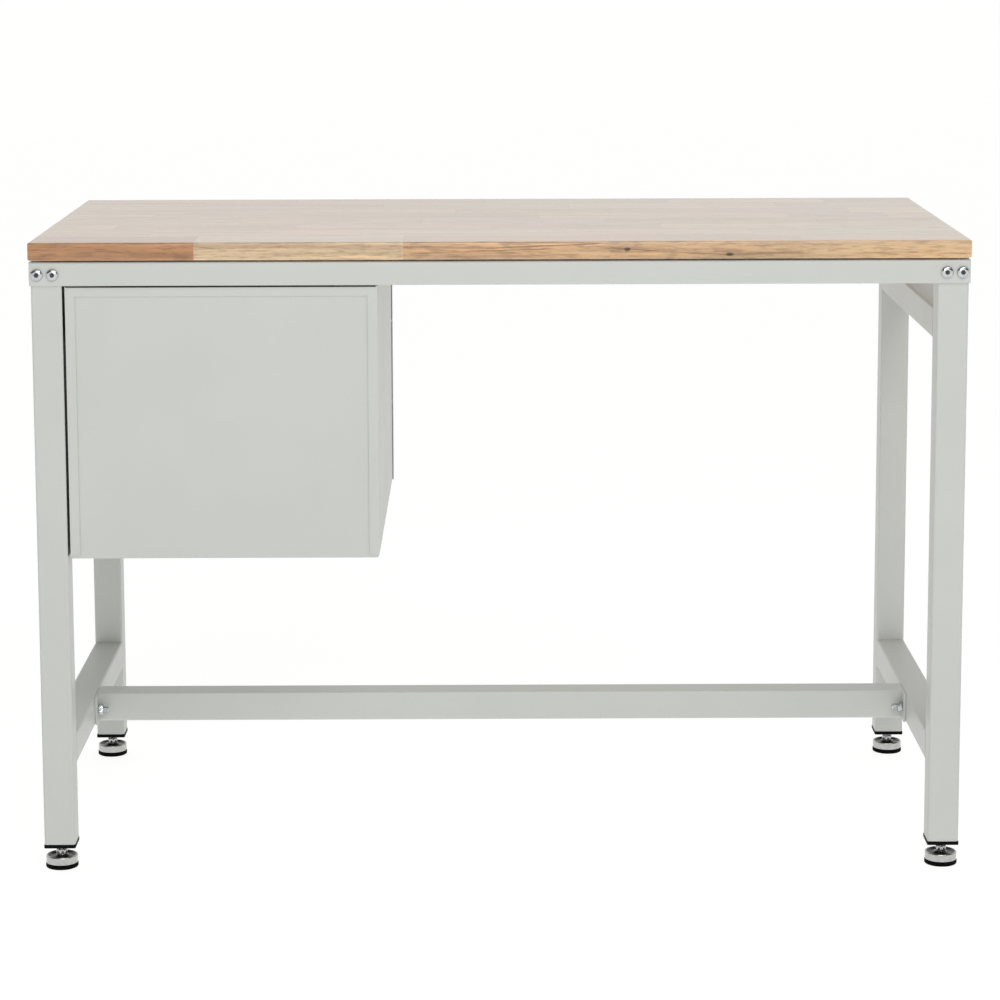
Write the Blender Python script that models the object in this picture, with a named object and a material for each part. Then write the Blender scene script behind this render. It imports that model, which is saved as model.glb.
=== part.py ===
"""Workbench with a hardwood top, a bolted square-tube frame and a hanging cabinet of three drawers.

Metres, +Z up. The origin is on the floor under the middle of the worktop. -Y is the back, where the
cabinet shows its plain rear panel; the drawers open towards +Y. Left is -X and right is +X.
"""
from math import cos, pi, sin

import bmesh
import bpy
from mathutils import Matrix, Vector

# Driving dimensions
TOP_WIDTH = 1.200
TOP_DEPTH = 0.600
TOP_THICKNESS = 0.025
TOP_EDGE_RADIUS = 0.0015
HEIGHT = 0.8253
FRAME_WIDTH = 1.195
FRAME_DEPTH = 0.590
GAP = 0.0003                     # clearance that keeps touching pieces apart
TOLERANCE = 1e-6                 # for comparing directions and places of modelled edges

# Square tube of the legs, cross rails and stretcher
TUBE = 0.040
TUBE_WALL = 0.002
TUBE_CORNER = 0.003
LEG_BOTTOM = 0.0345
LOWER_RAIL_Z = 0.1545            # centre height of the lower cross rails and the stretcher
UPPER_RAIL_Z = 0.7140            # centre height of the upper cross rails
STRETCHER_Y = -0.025

# Angle rails under the long edges of the worktop
ANGLE_SIZE = 0.030
ANGLE_WALL = 0.0025
ANGLE_RADIUS = 0.003
ANGLE_OVERHANG = 0.0015          # how far each end runs past the legs

# End plates of the stretcher
PLATE_THICKNESS = 0.003
PLATE_LUG = 0.024                # how far the plate stands out from the tube, towards the back
PLATE_INSET = 0.0005             # from the plate's edges to the tube's top, bottom and far side
DRAIN_HOLE_RADIUS = 0.008

# Bolts
BOLT_HEAD_RADIUS = 0.007
BOLT_HEAD_HEIGHT = 0.0040
BOLT_HEAD_RIM = 0.0008           # straight side of the head, below the dome
BOLT_CHAMFER = 0.0006
RAIL_BOLT_RADIUS = 0.003
RAIL_BOLT_LENGTH = 0.014
RAIL_BOLT_INSETS = (0.0085, 0.0285)     # from the leg's outer side
RAIL_BOLT_Z = 0.7842
STRETCHER_BOLT_RADIUS = 0.004
STRETCHER_BOLT_STUB = 0.008
STRETCHER_NUT_HEIGHT = 0.0065
STRETCHER_NUT_FLATS = 0.013
HOLE_CLEARANCE = 0.0004
BOLT_SEGMENTS = 16

# Levelling feet
CAP_OVERHANG = 0.0006
CAP_FLANGE = 0.0045
CAP_INSERT_DEPTH = 0.018
STEM_RADIUS = 0.005
STEM_TOP = 0.062
STEM_CHAMFER = 0.0010
STEM_NUT_FLATS = 0.013
STEM_NUT_Z = (0.0190, 0.0262)
BELL_RADIUS = 0.0207
BELL_RIM_HEIGHT = 0.0165
BELL_RIM_RADIUS = 0.0020
HUB_FOOT = (0.0095, 0.0172)      # (radius, height) of the cone that carries the stem
HUB_TOP = (0.0060, 0.0195)
PAD_RADIUS = 0.0213
PAD_HEIGHT = 0.0056
PAD_LOWER_ROUND = 0.0020
PAD_UPPER_ROUND = 0.0008
FOOT_SEGMENTS = 24

# Drawer cabinet
SHEET = 0.0012
CASE_LEFT = -0.5545
CASE_RIGHT = -0.1565
CASE_BACK = -0.2935
CASE_FRONT = 0.2600
CASE_TOP = 0.7682
CASE_SIDE_BOTTOM = 0.4190
PAN_BOTTOM = 0.4155
RETURN_FLANGE = 0.0125
HANGER_WIDTH = 0.030
HANGER_WALL = 0.002
HANGER_HALF_LENGTH = 0.262
HANGER_INSET = 0.055             # from each side of the case to the hanger's web

# Drawers
DRAWER_COUNT = 3
FRONT_DEPTH = 0.018
FRONT_OVERLAP = 0.0015           # how far a front covers more than the case, each side
FRONT_REVEAL = 0.0025            # gap between two fronts
FRONT_EDGE_RADIUS = 0.0011
TRAY_BACK = -0.245
TRAY_HEIGHT = 0.090
SLIDE_SPACE = 0.0130             # between the case's wall and the tray's wall
SLIDE_HEIGHT = 0.035
SLIDE_WALL = 0.0013
SLIDE_BALL_SPACE = 0.0012        # between the flanges of the fixed and the moving channel
FIXED_SLIDE_DEPTH = 0.0100
RUNNER_DEPTH = 0.0095
RUNNER_LEAD = 0.002              # how far the moving channel stands ahead of the fixed one
SLIDE_BACK = -0.245
SLIDE_FRONT = 0.255
HANDLE_SPAN = 0.132
HANDLE_DEPTH = 0.0195
HANDLE_BAR = 0.004
HANDLE_WIDTH = 0.012
HANDLE_BEND = 0.009

# Worked out from the driving dimensions
LEG_X = FRAME_WIDTH / 2 - TUBE / 2
LEG_Y = FRAME_DEPTH / 2 - TUBE / 2
TOP_UNDERSIDE = HEIGHT - TOP_THICKNESS
ANGLE_TOP = TOP_UNDERSIDE - GAP
LEG_TOP = ANGLE_TOP - ANGLE_WALL - GAP
SIDES = (("left", -1), ("right", 1))
ENDS = (("back", -1), ("front", 1))


def make_material(name, colour, roughness, metallic=0.0):
    """A Principled material in one colour."""
    material = bpy.data.materials.new(name)
    material.use_nodes = True
    shader = material.node_tree.nodes["Principled BSDF"]
    shader.inputs["Base Color"].default_value = (*colour, 1.0)
    shader.inputs["Roughness"].default_value = roughness
    shader.inputs["Metallic"].default_value = metallic
    return material


def add_object(name, shape, material, location=(0, 0, 0), parent=None):
    """Turns a bmesh, modelled about its own origin, into a placed object."""
    bmesh.ops.recalc_face_normals(shape, faces=shape.faces)
    mesh = bpy.data.meshes.new(name)
    shape.to_mesh(mesh)
    shape.free()
    mesh.materials.append(material)
    mesh.shade_smooth()
    mesh.set_sharp_from_angle(angle=pi / 6)
    obj = bpy.data.objects.new(name, mesh)
    bpy.context.scene.collection.objects.link(obj)
    obj.location = location
    obj.parent = parent
    return obj


def copy_object(name, source, location, turn=0.0, parent=None):
    """Another piece with the same mesh, turned about the vertical."""
    obj = bpy.data.objects.new(name, source.data)
    bpy.context.scene.collection.objects.link(obj)
    obj.location = location
    obj.rotation_euler = (source.rotation_euler[0], source.rotation_euler[1], turn)
    obj.parent = parent
    return obj


def add_empty(name, location):
    """A guide that carries the pieces of one moving body."""
    empty = bpy.data.objects.new(name, None)
    bpy.context.scene.collection.objects.link(empty)
    empty.location = location
    return empty


def combine(obj, tool_shape, operation):
    """Cuts or joins a second shape, in the object's own space, into the object's mesh."""
    tool_mesh = bpy.data.meshes.new("tool")
    bmesh.ops.recalc_face_normals(tool_shape, faces=tool_shape.faces)
    tool_shape.to_mesh(tool_mesh)
    tool_shape.free()
    tool = bpy.data.objects.new("tool", tool_mesh)
    bpy.context.scene.collection.objects.link(tool)
    tool.location = obj.location
    tool.rotation_euler = obj.rotation_euler
    tool.parent = obj.parent
    modifier = obj.modifiers.new("combine", "BOOLEAN")
    modifier.operation = operation
    modifier.solver = "EXACT"
    modifier.object = tool
    bpy.context.view_layer.update()
    graph = bpy.context.evaluated_depsgraph_get()
    result = bpy.data.meshes.new_from_object(obj.evaluated_get(graph))
    obj.modifiers.clear()
    obj.data = result
    bpy.data.objects.remove(tool)


def arc(centre_u, centre_v, radius, start, end, steps):
    """Points of a circular arc in a plane, angles in quarter turns."""
    points = []
    for i in range(steps + 1):
        angle = (start + (end - start) * i / steps) * pi / 2
        points.append((centre_u + radius * cos(angle), centre_v + radius * sin(angle)))
    return points


def rounded_square(side, radius, steps=3):
    """Outline of a square with round corners, about its centre."""
    reach = side / 2 - radius
    points = []
    for quarter, (u, v) in enumerate(((1, 1), (-1, 1), (-1, -1), (1, -1))):
        points += arc(u * reach, v * reach, radius, quarter, quarter + 1, steps)
    return points


def in_space(axis, u, v, along):
    """A point of a section that is swept along X, Y or Z."""
    return {"X": (along, u, v), "Y": (u, along, v), "Z": (u, v, along)}[axis]


def swept(axis, outline, start, end, hole=None):
    """A straight bar with this outline; hole, with as many points, makes it a tube."""
    shape = bmesh.new()
    loops = []
    for along in (start, end):
        for points in (outline, hole) if hole else (outline,):
            loops.append([shape.verts.new(in_space(axis, u, v, along)) for u, v in points])
    count = len(outline)
    per_end = len(loops) // 2
    for k in range(per_end):
        near, far = loops[k], loops[k + per_end]
        for i in range(count):
            j = (i + 1) % count
            shape.faces.new((near[i], near[j], far[j], far[i]))
    for e in (0, 1):
        if hole:
            outer, inner = loops[e * 2], loops[e * 2 + 1]
            for i in range(count):
                j = (i + 1) % count
                shape.faces.new((outer[i], outer[j], inner[j], inner[i]))
        else:
            shape.faces.new(loops[e])
    return shape


def tube_shape(axis, start, end, centre=(0.0, 0.0)):
    """A length of the frame's square tube, open at both ends."""
    def moved(points):
        return [(u + centre[0], v + centre[1]) for u, v in points]
    outer = rounded_square(TUBE, TUBE_CORNER)
    inner = rounded_square(TUBE - 2 * TUBE_WALL, TUBE_CORNER - TUBE_WALL)
    return swept(axis, moved(outer), start, end, hole=moved(inner))


def box_shape(low, high):
    """A plain block between two corners."""
    low, high = Vector(low), Vector(high)
    shape = bmesh.new()
    bmesh.ops.create_cube(shape, size=1.0)
    for vert in shape.verts:
        vert.co = Vector((low[i] + (vert.co[i] + 0.5) * (high[i] - low[i]) for i in range(3)))
    return shape


def is_upright(_middle, direction):
    """Chooses the edges that run along Z."""
    return abs(direction.z) > 1 - TOLERANCE


def round_edges(shape, radius, chosen, steps=2):
    """Rounds the edges for which chosen(middle point, direction) is true."""
    edges = []
    for edge in shape.edges:
        a, b = edge.verts[0].co, edge.verts[1].co
        if chosen((a + b) / 2, (b - a).normalized()):
            edges.append(edge)
    bmesh.ops.bevel(
        shape, geom=edges, offset=radius, offset_type="OFFSET", segments=steps, profile=0.5,
        affect="EDGES",
    )
    return shape


def cylinder_shape(radius, start, end, axis="Z", segments=BOLT_SEGMENTS, centre=(0.0, 0.0)):
    """A round bar along an axis through centre."""
    ring = []
    for i in range(segments):
        angle = 2 * pi * (i + 0.5) / segments
        ring.append((centre[0] + radius * cos(angle), centre[1] + radius * sin(angle)))
    return swept(axis, ring, start, end)


def turned_shape(profile, segments):
    """A solid of revolution about Z from (radius, height) points that begin and end on the axis."""
    shape = bmesh.new()
    rings = []
    for radius, height in profile:
        if radius == 0:
            rings.append([shape.verts.new((0, 0, height))])
            continue
        ring = []
        for i in range(segments):
            angle = 2 * pi * i / segments
            ring.append(shape.verts.new((radius * cos(angle), radius * sin(angle), height)))
        rings.append(ring)
    for lower, upper in zip(rings, rings[1:]):
        for i in range(segments):
            j = (i + 1) % segments
            if len(lower) == 1:
                shape.faces.new((lower[0], upper[i], upper[j]))
            elif len(upper) == 1:
                shape.faces.new((lower[i], lower[j], upper[0]))
            else:
                shape.faces.new((lower[i], lower[j], upper[j], upper[i]))
    return shape


def open_box_shape(low, high, wall, axis, side):
    """A sheet-metal box without its wall on one side of one axis."""
    shape = box_shape(low, high)
    index = "XYZ".index(axis)
    open_face = max(shape.faces, key=lambda face: face.calc_center_median()[index] * side)
    bmesh.ops.inset_individual(shape, faces=[open_face], thickness=wall)
    depth = (high[index] - low[index]) - wall
    moved = bmesh.ops.extrude_discrete_faces(shape, faces=[open_face])["faces"][0]
    offset = [0.0, 0.0, 0.0]
    offset[index] = -side * depth
    bmesh.ops.translate(shape, verts=list(moved.verts), vec=offset)
    return shape


def hex_outline(flats):
    """A hexagon with this width across its flats."""
    radius = flats / 2 / cos(pi / 6)
    return [(radius * cos(i * pi / 3), radius * sin(i * pi / 3)) for i in range(6)]


def add_worktop(material):
    """The hardwood board with slightly rounded edges."""
    half_x, half_y = TOP_WIDTH / 2, TOP_DEPTH / 2
    shape = box_shape((-half_x, -half_y, TOP_UNDERSIDE), (half_x, half_y, HEIGHT))
    round_edges(shape, TOP_EDGE_RADIUS, lambda middle, direction: True)
    add_object("worktop", shape, material)


def add_legs(material):
    """Four tubes, each with two bolt holes in the face that carries the angle rail."""
    for side_name, x_sign in SIDES:
        for end_name, y_sign in ENDS:
            location = (x_sign * LEG_X, y_sign * LEG_Y, 0)
            leg = add_object(
                f"leg_{end_name}_{side_name}", tube_shape("Z", LEG_BOTTOM, LEG_TOP), material, location
            )
            wall = sorted((y_sign * (TUBE / 2 - 2 * TUBE_WALL), y_sign * (TUBE / 2 + TUBE_WALL)))
            for inset in RAIL_BOLT_INSETS:
                hole = cylinder_shape(
                    RAIL_BOLT_RADIUS + HOLE_CLEARANCE, wall[0], wall[1], "Y",
                    centre=(x_sign * (TUBE / 2 - inset), RAIL_BOLT_Z),
                )
                combine(leg, hole, "DIFFERENCE")


def add_cross_rails(material):
    """Tubes that join the two legs of each end frame, low and high."""
    reach = LEG_Y - TUBE / 2 - GAP
    for side_name, x_sign in SIDES:
        add_object(
            f"upper_cross_rail_{side_name}", tube_shape("Y", -reach, reach), material,
            (x_sign * LEG_X, 0, UPPER_RAIL_Z),
        )
        lower = add_object(
            f"lower_cross_rail_{side_name}", tube_shape("Y", -reach, reach), material,
            (x_sign * LEG_X, 0, LOWER_RAIL_Z),
        )
        hole = cylinder_shape(
            STRETCHER_BOLT_RADIUS + HOLE_CLEARANCE, -TUBE, TUBE, "X", centre=(stretcher_bolt_y(), 0)
        )
        combine(lower, hole, "DIFFERENCE")


def angle_outline():
    """Section of the angle rail in (depth, height), its outer corner at the origin."""
    far, wall, radius = ANGLE_SIZE, ANGLE_WALL, ANGLE_RADIUS
    points = [(0, -far), (wall, -far), (wall, -wall), (far, -wall), (far, 0)]
    return points + arc(radius, -radius, radius, 1, 2, 4)


def add_angle_rails(material):
    """The angles that cover the leg tops along the back and the front edge."""
    reach = FRAME_WIDTH / 2 + ANGLE_OVERHANG
    face = FRAME_DEPTH / 2 + GAP + ANGLE_WALL
    for end_name, y_sign in ENDS:
        outline = [(-y_sign * depth, height) for depth, height in angle_outline()]
        rail = add_object(
            f"top_rail_{end_name}", swept("X", outline, -reach, reach), material,
            (0, y_sign * face, ANGLE_TOP),
        )
        flange = sorted((y_sign * ANGLE_WALL, -y_sign * 2 * ANGLE_WALL))
        for x_sign in (-1, 1):
            for inset in RAIL_BOLT_INSETS:
                hole = cylinder_shape(
                    RAIL_BOLT_RADIUS + HOLE_CLEARANCE, flange[0], flange[1], "Y",
                    centre=(x_sign * (FRAME_WIDTH / 2 - inset), RAIL_BOLT_Z - ANGLE_TOP),
                )
                combine(rail, hole, "DIFFERENCE")


def stretcher_bolt_y():
    """Where the bolt passes, in the middle of the plate's lug."""
    return STRETCHER_Y - TUBE / 2 - PLATE_LUG / 2


def add_stretcher(material):
    """The long tube between the end frames, with a drilled plate welded to each end."""
    end = FRAME_WIDTH / 2 - TUBE - GAP
    stretcher = add_object(
        "stretcher", tube_shape("X", PLATE_THICKNESS / 2 - end, end - PLATE_THICKNESS / 2), material,
        (0, STRETCHER_Y, LOWER_RAIL_Z),
    )
    for x_sign in (-1, 1):
        faces = sorted((x_sign * end, x_sign * (end - PLATE_THICKNESS)))
        plate = box_shape(
            (faces[0], -TUBE / 2 - PLATE_LUG, PLATE_INSET - TUBE / 2),
            (faces[1], TUBE / 2 - PLATE_INSET, TUBE / 2 - PLATE_INSET),
        )
        combine(stretcher, plate, "UNION")
        past = sorted((x_sign * (end + PLATE_THICKNESS), x_sign * (end - 2 * PLATE_THICKNESS)))
        combine(stretcher, cylinder_shape(DRAIN_HOLE_RADIUS, *past, "X"), "DIFFERENCE")
        bolt_hole = cylinder_shape(
            STRETCHER_BOLT_RADIUS + HOLE_CLEARANCE, *past, "X",
            centre=(stretcher_bolt_y() - STRETCHER_Y, 0),
        )
        combine(stretcher, bolt_hole, "DIFFERENCE")


def bolt_profile(shank_radius, shank_length):
    """Half section of a dome-head bolt; its head sits above the height 0."""
    profile = [(0, -shank_length), (shank_radius - BOLT_CHAMFER, -shank_length)]
    profile += [(shank_radius, BOLT_CHAMFER - shank_length), (shank_radius, 0)]
    profile += [(BOLT_HEAD_RADIUS, 0), (BOLT_HEAD_RADIUS, BOLT_HEAD_RIM)]
    for step in (1, 2, 3):
        angle = step * pi / 8
        rise = BOLT_HEAD_RIM + (BOLT_HEAD_HEIGHT - BOLT_HEAD_RIM) * sin(angle)
        profile.append((BOLT_HEAD_RADIUS * cos(angle), rise))
    return profile + [(0, BOLT_HEAD_HEIGHT)]


def add_rail_bolts(material):
    """Two bolts at each end of both angle rails."""
    first = None
    face = FRAME_DEPTH / 2 + GAP + ANGLE_WALL + GAP
    for end_name, y_sign in ENDS:
        for side_name, x_sign in SIDES:
            for number, inset in enumerate(RAIL_BOLT_INSETS, 1):
                name = f"rail_bolt_{end_name}_{side_name}_{number}"
                location = (x_sign * (FRAME_WIDTH / 2 - inset), y_sign * face, RAIL_BOLT_Z)
                turn = 0.0 if y_sign < 0 else pi
                if first is None:
                    shape = turned_shape(bolt_profile(RAIL_BOLT_RADIUS, RAIL_BOLT_LENGTH), BOLT_SEGMENTS)
                    bmesh.ops.rotate(shape, verts=shape.verts, matrix=Matrix.Rotation(pi / 2, 3, "X"))
                    first = add_object(name, shape, material, location)
                else:
                    copy_object(name, first, location, turn)


def add_stretcher_bolts(material):
    """Bolts through the lower cross rails, each with its nut on the stretcher's plate."""
    length = TUBE + 2 * GAP + PLATE_THICKNESS + GAP + STRETCHER_NUT_HEIGHT + STRETCHER_BOLT_STUB
    nut_end = STRETCHER_BOLT_STUB - length
    for side_name, x_sign in SIDES:
        shape = turned_shape(bolt_profile(STRETCHER_BOLT_RADIUS, length), BOLT_SEGMENTS)
        bolt = add_object(
            f"stretcher_bolt_{side_name}", shape, material,
            (x_sign * (FRAME_WIDTH / 2 + GAP), stretcher_bolt_y(), LOWER_RAIL_Z),
        )
        bolt.rotation_euler = (0, x_sign * pi / 2, 0)
        nut = swept("Z", hex_outline(STRETCHER_NUT_FLATS), nut_end, nut_end + STRETCHER_NUT_HEIGHT)
        combine(bolt, nut, "UNION")


def bell_profile():
    """Half section of a levelling foot: cup with a dished top, hub and stem."""
    rim = arc(
        BELL_RADIUS - BELL_RIM_RADIUS, BELL_RIM_HEIGHT - BELL_RIM_RADIUS, BELL_RIM_RADIUS, 0, 1.5, 4
    )
    base = PAD_HEIGHT + GAP
    stem = [
        (STEM_RADIUS, HUB_TOP[1]), (STEM_RADIUS, STEM_TOP - STEM_CHAMFER),
        (STEM_RADIUS - STEM_CHAMFER, STEM_TOP), (0, STEM_TOP),
    ]
    return [(0, base), (BELL_RADIUS, base)] + rim + [HUB_FOOT, HUB_TOP] + stem


def pad_profile():
    """Half section of the rubber disc under a foot."""
    lower = arc(PAD_RADIUS - PAD_LOWER_ROUND, PAD_LOWER_ROUND, PAD_LOWER_ROUND, -1, 0, 3)
    upper = arc(
        PAD_RADIUS - PAD_UPPER_ROUND, PAD_HEIGHT - PAD_UPPER_ROUND, PAD_UPPER_ROUND, 0, 1, 2
    )
    return [(0, 0)] + lower + upper + [(0, PAD_HEIGHT)]


def add_feet(plastic, zinc, rubber):
    """At each leg a plastic cap in the tube, and a foot that screws up and down through it."""
    flange_top = LEG_BOTTOM - GAP
    flange_half = TUBE / 2 + CAP_OVERHANG
    insert_half = TUBE / 2 - TUBE_WALL - GAP
    shape = box_shape(
        (-flange_half, -flange_half, flange_top - CAP_FLANGE), (flange_half, flange_half, flange_top)
    )
    round_edges(shape, TUBE_CORNER, is_upright, 3)
    cap = add_object("leg_cap_back_left", shape, plastic, (-LEG_X, -LEG_Y, 0))
    insert = box_shape(
        (-insert_half, -insert_half, flange_top - CAP_FLANGE / 2),
        (insert_half, insert_half, flange_top + CAP_INSERT_DEPTH),
    )
    round_edges(insert, TUBE_CORNER, is_upright, 2)
    combine(cap, insert, "UNION")
    bore = cylinder_shape(STEM_RADIUS + HOLE_CLEARANCE, 0, HEIGHT / 2, segments=FOOT_SEGMENTS)
    combine(cap, bore, "DIFFERENCE")

    foot = add_object(
        "foot_back_left", turned_shape(bell_profile(), FOOT_SEGMENTS), zinc, (-LEG_X, -LEG_Y, 0)
    )
    combine(foot, swept("Z", hex_outline(STEM_NUT_FLATS), *STEM_NUT_Z), "UNION")
    pad = add_object(
        "foot_pad_back_left", turned_shape(pad_profile(), FOOT_SEGMENTS), rubber, (-LEG_X, -LEG_Y, 0)
    )
    for side_name, x_sign in SIDES:
        for end_name, y_sign in ENDS:
            if (x_sign, y_sign) == (-1, -1):
                continue
            location = (x_sign * LEG_X, y_sign * LEG_Y, 0)
            copy_object(f"leg_cap_{end_name}_{side_name}", cap, location)
            copy_object(f"foot_{end_name}_{side_name}", foot, location)
            copy_object(f"foot_pad_{end_name}_{side_name}", pad, location)


def add_case(material):
    """Top and sides folded from one sheet, with a return flange round the back."""
    outline = [
        (CASE_LEFT, CASE_SIDE_BOTTOM), (CASE_LEFT + SHEET, CASE_SIDE_BOTTOM),
        (CASE_LEFT + SHEET, CASE_TOP - SHEET), (CASE_RIGHT - SHEET, CASE_TOP - SHEET),
        (CASE_RIGHT - SHEET, CASE_SIDE_BOTTOM), (CASE_RIGHT, CASE_SIDE_BOTTOM),
        (CASE_RIGHT, CASE_TOP), (CASE_LEFT, CASE_TOP),
    ]
    case = add_object("cabinet_case", swept("Y", outline, CASE_BACK, CASE_FRONT), material)
    inner = [
        (CASE_LEFT + RETURN_FLANGE, CASE_SIDE_BOTTOM),
        (CASE_LEFT + RETURN_FLANGE, CASE_TOP - RETURN_FLANGE),
        (CASE_RIGHT - RETURN_FLANGE, CASE_TOP - RETURN_FLANGE),
        (CASE_RIGHT - RETURN_FLANGE, CASE_SIDE_BOTTOM),
    ]
    overlap = SHEET / 2
    outer = [
        (CASE_RIGHT - overlap, CASE_SIDE_BOTTOM), (CASE_RIGHT - overlap, CASE_TOP - overlap),
        (CASE_LEFT + overlap, CASE_TOP - overlap), (CASE_LEFT + overlap, CASE_SIDE_BOTTOM),
    ]
    combine(case, swept("Y", inner + outer, CASE_BACK, CASE_BACK + SHEET), "UNION")


def add_pan(material):
    """Back panel and floor of the cabinet, folded from one sheet behind the case's flanges."""
    left = CASE_LEFT + SHEET + GAP
    right = CASE_RIGHT - SHEET - GAP
    back = CASE_BACK + SHEET + GAP
    top = CASE_TOP - SHEET - GAP
    outline = [
        (back, PAN_BOTTOM), (CASE_FRONT, PAN_BOTTOM), (CASE_FRONT, PAN_BOTTOM + SHEET),
        (back + SHEET, PAN_BOTTOM + SHEET), (back + SHEET, top), (back, top),
    ]
    add_object("cabinet_back_and_floor", swept("X", outline, left, right), material)


def add_hangers(material):
    """Two channels between the cabinet's top and the worktop."""
    low, high = CASE_TOP + GAP, TOP_UNDERSIDE - GAP
    for side_name, web_x, reach in (
        ("left", CASE_LEFT + HANGER_INSET, 1), ("right", CASE_RIGHT - HANGER_INSET, -1)
    ):
        tip = web_x + reach * HANGER_WIDTH
        inside = web_x + reach * HANGER_WALL
        outline = [
            (web_x, low), (tip, low), (tip, low + HANGER_WALL), (inside, low + HANGER_WALL),
            (inside, high - HANGER_WALL), (tip, high - HANGER_WALL), (tip, high), (web_x, high),
        ]
        shape = swept("Y", outline, -HANGER_HALF_LENGTH, HANGER_HALF_LENGTH)
        add_object(f"cabinet_hanger_{side_name}", shape, material)


def channel_outline(web_x, reach, half_height, depth):
    """A C section about height 0, its web at web_x and its flanges reaching depth to one side."""
    inside = web_x + reach * SLIDE_WALL
    tip = web_x + reach * depth
    lip = half_height - SLIDE_WALL
    return [
        (web_x, -half_height), (tip, -half_height), (tip, -lip), (inside, -lip),
        (inside, lip), (tip, lip), (tip, half_height), (web_x, half_height),
    ]


def handle_outline(face):
    """A bow handle seen from above, its feet on the drawer front at depth face."""
    half, bend, bar = HANDLE_SPAN / 2, HANDLE_BEND, HANDLE_BAR
    tip = face + HANDLE_DEPTH
    outer = arc(half - bend, tip - bend, bend, 0, 1, 4) + arc(bend - half, tip - bend, bend, 1, 2, 4)
    inner_bend = bend - bar
    inner = arc(bend - half, tip - bend, inner_bend, 2, 1, 4)
    inner += arc(half - bend, tip - bend, inner_bend, 1, 0, 4)
    feet_left = [(-half, face), (bar - half, face)]
    feet_right = [(half - bar, face), (half, face)]
    return outer + feet_left + inner + feet_right


def add_drawers(paint, slide_steel, zinc):
    """Each drawer has a tray, a folded front, a handle and a two-part slide on each side."""
    middle_x = (CASE_LEFT + CASE_RIGHT) / 2
    half_case = (CASE_RIGHT - CASE_LEFT) / 2
    pitch = (CASE_TOP - PAN_BOTTOM) / DRAWER_COUNT
    front_half_x = half_case + FRONT_OVERLAP
    front_half_z = (pitch - FRONT_REVEAL) / 2
    tray_half_x = half_case - SHEET - SLIDE_SPACE
    tray_front = CASE_FRONT - GAP
    front_back = CASE_FRONT + GAP
    front_face = front_back + FRONT_DEPTH
    floor_z = -TRAY_HEIGHT / 2

    first = {}
    for number in range(1, DRAWER_COUNT + 1):
        centre_z = CASE_TOP - pitch * (number - 0.5)
        body = add_empty(f"drawer_{number}_guide", (middle_x, 0, centre_z))
        rails = add_empty(f"drawer_{number}_rail_guide", (middle_x, 0, centre_z))

        def place(kind, parent, build, material, label):
            """Models a piece for the first drawer and copies it for the others."""
            name = label.format(number)
            if kind in first:
                copy_object(name, first[kind], (0, 0, 0), parent=parent)
            else:
                first[kind] = add_object(name, build(), material, parent=parent)

        place(
            "tray", body,
            lambda: open_box_shape(
                (-tray_half_x, TRAY_BACK, floor_z), (tray_half_x, tray_front, floor_z + TRAY_HEIGHT),
                SHEET, "Z", 1,
            ),
            paint, "drawer_{}_tray",
        )
        place(
            "front", body,
            lambda: round_edges(
                open_box_shape(
                    (-front_half_x, front_back, -front_half_z),
                    (front_half_x, front_face, front_half_z), SHEET, "Y", -1,
                ),
                FRONT_EDGE_RADIUS,
                lambda middle, direction: abs(middle.y - front_face) < TOLERANCE,
            ),
            paint, "drawer_{}_front",
        )
        half_handle = HANDLE_WIDTH / 2
        place(
            "handle", body,
            lambda: swept("Z", handle_outline(front_face + GAP), -half_handle, half_handle),
            zinc, "drawer_{}_handle",
        )
        for side_name, sign in SIDES:
            wall = sign * (half_case - SHEET - GAP)
            web = sign * (tray_half_x + GAP)
            outer_half = SLIDE_HEIGHT / 2
            inner_half = outer_half - SLIDE_WALL - SLIDE_BALL_SPACE
            place(
                f"fixed_{side_name}", rails,
                lambda: swept(
                    "Y", channel_outline(wall, -sign, outer_half, FIXED_SLIDE_DEPTH),
                    SLIDE_BACK, SLIDE_FRONT,
                ),
                slide_steel, "drawer_{}_slide_" + side_name,
            )
            place(
                f"moving_{side_name}", body,
                lambda: swept(
                    "Y", channel_outline(web, sign, inner_half, RUNNER_DEPTH),
                    SLIDE_BACK + RUNNER_LEAD, SLIDE_FRONT + RUNNER_LEAD,
                ),
                slide_steel, "drawer_{}_runner_" + side_name,
            )


def build_workbench():
    """Makes every piece of the workbench."""
    for obj in list(bpy.data.objects):
        bpy.data.objects.remove(obj, do_unlink=True)
    wood = make_material("hardwood", (0.62, 0.45, 0.28), 0.45)
    paint = make_material("grey_powder_coat", (0.60, 0.61, 0.58), 0.42)
    zinc = make_material("zinc_plated_steel", (0.75, 0.76, 0.78), 0.22, 1.0)
    slide_steel = make_material("slide_steel", (0.62, 0.63, 0.65), 0.35, 1.0)
    plastic = make_material("black_plastic", (0.02, 0.02, 0.02), 0.45)
    rubber = make_material("black_rubber", (0.015, 0.015, 0.015), 0.75)

    add_worktop(wood)
    add_legs(paint)
    add_cross_rails(paint)
    add_angle_rails(paint)
    add_stretcher(paint)
    add_rail_bolts(zinc)
    add_stretcher_bolts(zinc)
    add_feet(plastic, zinc, rubber)
    add_case(paint)
    add_pan(paint)
    add_hangers(paint)
    add_drawers(paint, slide_steel, zinc)


build_workbench()
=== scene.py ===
from math import cos, pi, sin
from random import Random

import bmesh
import bpy
from mathutils import Matrix, Vector


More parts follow.
